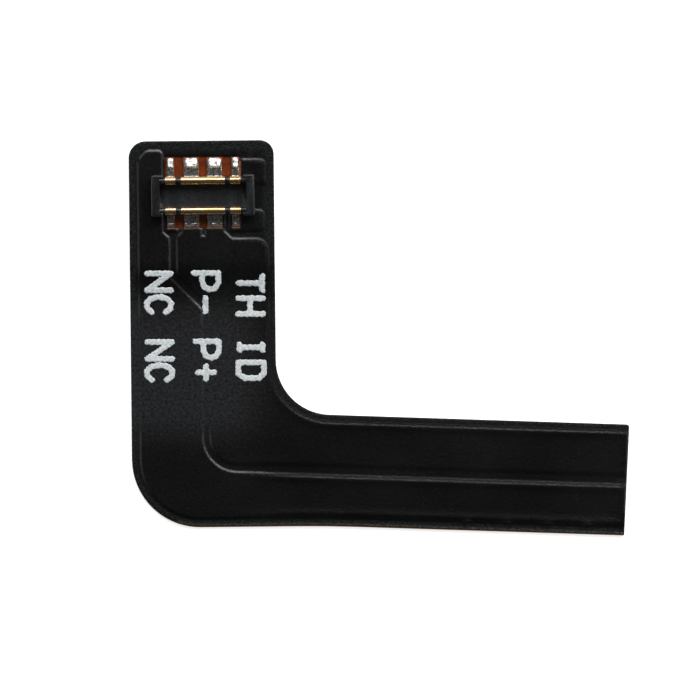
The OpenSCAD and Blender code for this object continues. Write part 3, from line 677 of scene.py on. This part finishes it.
def solderBead(node, side, height, seed):
    # solder wetted over a tail's toe and down to its pad, as a rounded bead
    bead = dict(overToe=0.12, step=0.02, spare=0.02, corner=0.8, shoulder=0.7, rise=0.22, fall=0.55, skirt=0.004,
                wobble=0.012, wobbleWaves=(11, 13), ripple=0.008, rippleWaves=(17, 14))
    low, high = nodeBox(node)
    y0, y1 = (low[1] - bead["overToe"], high[1]) if side > 0 else (low[1], high[1] + bead["overToe"])
    centre = np.array([(low[0] + high[0]) / 2, (y0 + y1) / 2])
    half = np.array([(high[0] - low[0]) / 2, (y1 - y0) / 2])
    corner = min(half[0], half[1]) * bead["corner"]
    cols, rows = (int(math.ceil(h / bead["step"])) + 1 for h in half)
    xs = np.linspace(-half[0] - bead["spare"], half[0] + bead["spare"], 2 * cols + 1)
    ys = np.linspace(-half[1] - bead["spare"], half[1] + bead["spare"], 2 * rows + 1)
    grid = np.array([(x, y) for y in ys for x in xs])

    def away(p):
        q = np.abs(p) - half + corner
        alongX, alongY = bead["wobbleWaves"]
        wave = bead["wobble"] * np.sin(alongX * p[:, 0] + seed) * np.cos(alongY * p[:, 1] + 2 * seed)
        return np.hypot(*np.maximum(q, 0).T) + np.minimum(q.max(1), 0) - corner + wave

    skin, faces = snappedGrid(grid, len(xs), away)
    depth = np.clip(-away(skin) / (min(half) * bead["shoulder"]), 0, 1)
    along = np.clip((side * skin[:, 1] + half[1]) / (2 * half[1]), 0, 1)
    dome = height * eased(along / bead["rise"]) * (1 - bead["fall"] * along) * np.sqrt(1 - (1 - depth) ** 2)
    alongX, alongY = bead["rippleWaves"]
    dome += bead["ripple"] * depth * np.sin(alongX * skin[:, 0] + 3 * seed) * np.sin(alongY * skin[:, 1] + seed)
    skin = skin + centre
    piece = closedShell(f"bead_{node.removeprefix('solder_')}", "solder",
                        np.column_stack([skin, low[2] + dome + bead["skirt"]]),
                        np.column_stack([skin, np.full(len(skin), low[2])]), faces, roundedAngle)
    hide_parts(node)


# how high each bead stands, in mm
beadHeights = dict(
    upper=dict(solder_nc_upper=0.15, solder_minus_left=0.17, solder_minus_right=0.17, solder_th=0.15),
    lower=dict(solder_nc_lower=0.08, solder_plus_left=0.08, solder_plus_right=0.08, solder_id=0.08),
)
seedStep = 1.7
for number, node in enumerate([*beadHeights["upper"], *beadHeights["lower"]]):
    row, side = ("upper", 1) if node in beadHeights["upper"] else ("lower", -1)
    solderBead(node, side, beadHeights[row][node], number * seedStep)
print("solder beads laid")


def softHousing():
    # the moulded body, with its sharp edges eased as a mould leaves them
    mould = dict(radius=0.01, weld=0.0005, sharpEdge=50)
    mesh = nodes["plug_housing"].data.copy()
    mesh.name = "housing_moulded"
    piece = bpy.data.objects.new("housing_moulded", mesh)
    bpy.context.scene.collection.objects.link(piece)
    mesh.materials.clear()
    mesh.materials.append(finish["housing"])
    weld = piece.modifiers.new("weld", "WELD")
    weld.merge_threshold = mould["weld"] * mm
    bevel = piece.modifiers.new("mouldRadius", "BEVEL")
    bevel.width, bevel.segments, bevel.angle_limit = mould["radius"] * mm, 2, math.radians(mould["sharpEdge"])
    mesh.shade_smooth()
    mesh.set_sharp_from_angle(angle=math.radians(crispAngle))
    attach(piece, "root")
    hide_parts("plug_housing")


softHousing()
print("housing eased")


# Terminal marks: each letter's own strokes, across and up the letter, both from 0 to 1
strokes = {
    "N": [[(0, 0), (0, 1), (1, 0), (1, 1)]],
    "C": [[(1, 0.2), (0.75, 0.03), (0.4, 0), (0.12, 0.16), (0, 0.42), (0, 0.6), (0.12, 0.86), (0.42, 1), (0.78, 0.96),
           (1, 0.78)]],
    "P": [[(0, 0), (0, 1), (0.6, 1), (0.92, 0.86), (1, 0.66), (0.88, 0.44), (0.5, 0.34), (0, 0.34)]],
    "T": [[(0.5, 0), (0.5, 1)], [(0, 1), (0.5, 0.92), (1, 1)]],
    "H": [[(0, 0), (0, 1)], [(1, 0), (1, 1)], [(0, 0.48), (1, 0.48)]],
    "I": [[(0.5, 0), (0.5, 1)], [(0, 0), (1, 0)], [(0, 1), (1, 1)]],
    "D": [[(0, 0), (0, 1), (0.7, 1), (1, 0.8), (1, 0.25), (0.75, 0), (0, 0)]],
    "-": [[(0, 0.5), (1, 0.5)]],
    "+": [[(0, 0.5), (1, 0.5)], [(0.48, 0), (0.48, 1)]],
}
# where each mark stands in the photograph: left, top, right and bottom of its ink, in pixels
markPlaces = [
    ("N", 144.3, 270.8, 173.8, 293.3), ("C", 143.9, 294.4, 174.2, 315), ("P", 191, 270.4, 221.3, 292.5),
    ("-", 202.1, 295, 208.9, 314.4), ("T", 235.6, 273.4, 265.5, 293.3), ("H", 235.2, 295.5, 265.9, 316.9),
    ("N", 144.6, 339.2, 175, 361.9), ("C", 144, 362.5, 175.5, 382.9), ("P", 192.5, 338.6, 221.8, 360.8),
    ("+", 195.2, 363.6, 217, 381.8), ("I", 236.7, 341.7, 265.5, 353.2), ("D", 235.5, 359.6, 266.8, 381),
]


def terminalMarks():
    # letters read down the arm, so across a letter is down the photograph and up a letter is to its right
    ink = dict(width=0.24, height=0.016, lift=0.002, sink=0.004, edge=0.05, step=0.03, sparePixels=3,
               wobble=0.014, wobbleWaves=(19, 23), fineShare=0.6, fineWaves=(31, 41))
    margin = ink["width"] / 2 * photo["pixelsPerMm"]
    allSkin, allFaces, count = [], [], 0
    for number, (letter, left, top, right, bottom) in enumerate(markPlaces):
        lines = [np.array([fromPixel(left + margin + up * (right - left - 2 * margin),
                                     top + margin + across * (bottom - top - 2 * margin))
                           for across, up in stroke]) for stroke in strokes[letter]]

        def away(p):
            nearest = np.full(len(p), 1e9)
            for line in lines:
                for a, b in zip(line[:-1], line[1:]):
                    run = b - a
                    share = np.clip(((p - a) @ run) / (run @ run), 0, 1)
                    nearest = np.minimum(nearest, np.hypot(*(p - a - share[:, None] * run).T))
            (alongX, alongY), (fineX, fineY) = ink["wobbleWaves"], ink["fineWaves"]
            wave = np.sin(alongX * p[:, 0] + number) * np.cos(alongY * p[:, 1] - number)
            wave += ink["fineShare"] * np.sin(fineY * p[:, 1] + fineX * p[:, 0])
            return nearest - ink["width"] / 2 + ink["wobble"] * wave

        lowLeft = fromPixel(left - ink["sparePixels"], bottom + ink["sparePixels"])
        highRight = fromPixel(right + ink["sparePixels"], top - ink["sparePixels"])
        xs = np.arange(lowLeft[0], highRight[0], ink["step"])
        ys = np.arange(lowLeft[1], highRight[1], ink["step"])
        grid = np.array([(x, y) for y in ys for x in xs])
        skin, faces = snappedGrid(grid, len(xs), away)
        rise = ink["height"] * (1 - (1 - np.clip(-away(skin) / ink["edge"], 0, 1)) ** 2)
        allSkin.append(np.column_stack([skin, rise]))
        allFaces += [tuple(v + count for v in face) for face in faces]
        count += len(skin)
    skin = np.concatenate(allSkin)
    ground = surfaceHeight(skin[:, :2])[0]
    upper = np.column_stack([skin[:, :2], ground + skin[:, 2] + ink["lift"]])
    lower = np.column_stack([skin[:, :2], ground - ink["sink"]])
    closedShell("terminal_marks", "legend", upper, lower, allFaces, roundedAngle)
    print("marks printed:", len(allFaces), "faces")


terminalMarks()

for part in frame["record"]["subparts"]:
    node = nodes[part["node"]]
    if not node.hide_render:
        node.data.materials.clear()
        node.data.materials.append(finish[part["material_slot"]])
print("carried-over nodes finished")


# Floor and light
def whiteFloor():
    # pale sweep that shows white to the camera and keeps the lead's shadow
    sweep = dict(half=1.5, below=0.00001, glow=0.75)
    mesh = bpy.data.meshes.new("floor")
    corners = [(x * sweep["half"], y * sweep["half"], 0) for x, y in ((-1, -1), (1, -1), (1, 1), (-1, 1))]
    mesh.from_pydata(corners, [], [(0, 1, 2, 3)])
    floor = bpy.data.objects.new("floor", mesh)
    floor.location.z = -sweep["below"]
    bpy.context.scene.collection.objects.link(floor)
    material = bpy.data.materials.new("whiteSweep")
    material.use_nodes = True
    tree = material.node_tree
    tree.nodes.clear()
    rays = addNode(tree, "ShaderNodeLightPath")
    seen = addNode(tree, "ShaderNodeMath", {0: rays.outputs["Is Camera Ray"], 1: rays.outputs["Is Glossy Ray"]},
                   operation="MAXIMUM")
    seen = addNode(tree, "ShaderNodeMath", {0: seen.outputs[0], 1: rays.outputs["Is Transmission Ray"]},
                   operation="MAXIMUM")
    paper = addNode(tree, "ShaderNodeBsdfDiffuse", {"Color": hexColour("#e8e8e8")})
    glow = addNode(tree, "ShaderNodeEmission", {"Color": hexColour("#ffffff"), "Strength": sweep["glow"]})
    both = addNode(tree, "ShaderNodeAddShader", {0: paper.outputs[0], 1: glow.outputs[0]})
    mixed = addNode(tree, "ShaderNodeMixShader", {0: seen.outputs[0], 1: paper.outputs[0], 2: both.outputs[0]})
    addNode(tree, "ShaderNodeOutputMaterial", {"Surface": mixed.outputs[0]})
    mesh.materials.append(material)


# lamps: place and size in metres, power in watts; a long box behind the head, and small ones to its sides
lamps = dict(
    topKey=dict(place=(0.05, 0.235, 0.28), size=(0.5, 0.16), power=1.75),
    rightKey=dict(place=(0.2, 0.15, 0.28), size=(0.12, 0.1), power=0.2),
    leftFill=dict(place=(-0.23, -0.02, 0.23), size=(0.06, 0.2), power=0.06),
    rightFill=dict(place=(0.23, -0.02, 0.23), size=(0.06, 0.2), power=0.07),
)


def studio():
    aim, worldStrength = Vector((0.005, -0.006, 0)), 0.05
    for name, lamp in lamps.items():
        data = bpy.data.lights.new(name, "AREA")
        data.shape, data.size, data.size_y, data.energy = "RECTANGLE", *lamp["size"], lamp["power"]
        light = bpy.data.objects.new(name, data)
        light.location = lamp["place"]
        light.rotation_euler = (aim - Vector(lamp["place"])).to_track_quat("-Z", "Y").to_euler()
        bpy.context.scene.collection.objects.link(light)
    world = bpy.data.worlds.new("studio")
    bpy.context.scene.world = world
    world.use_nodes = True
    background = world.node_tree.nodes["Background"]
    background.inputs["Color"].default_value = hexColour("#ffffff")
    background.inputs["Strength"].default_value = worldStrength


whiteFloor()
studio()
bpy.context.scene.view_settings.view_transform = "Standard"
print("floor and lights set")
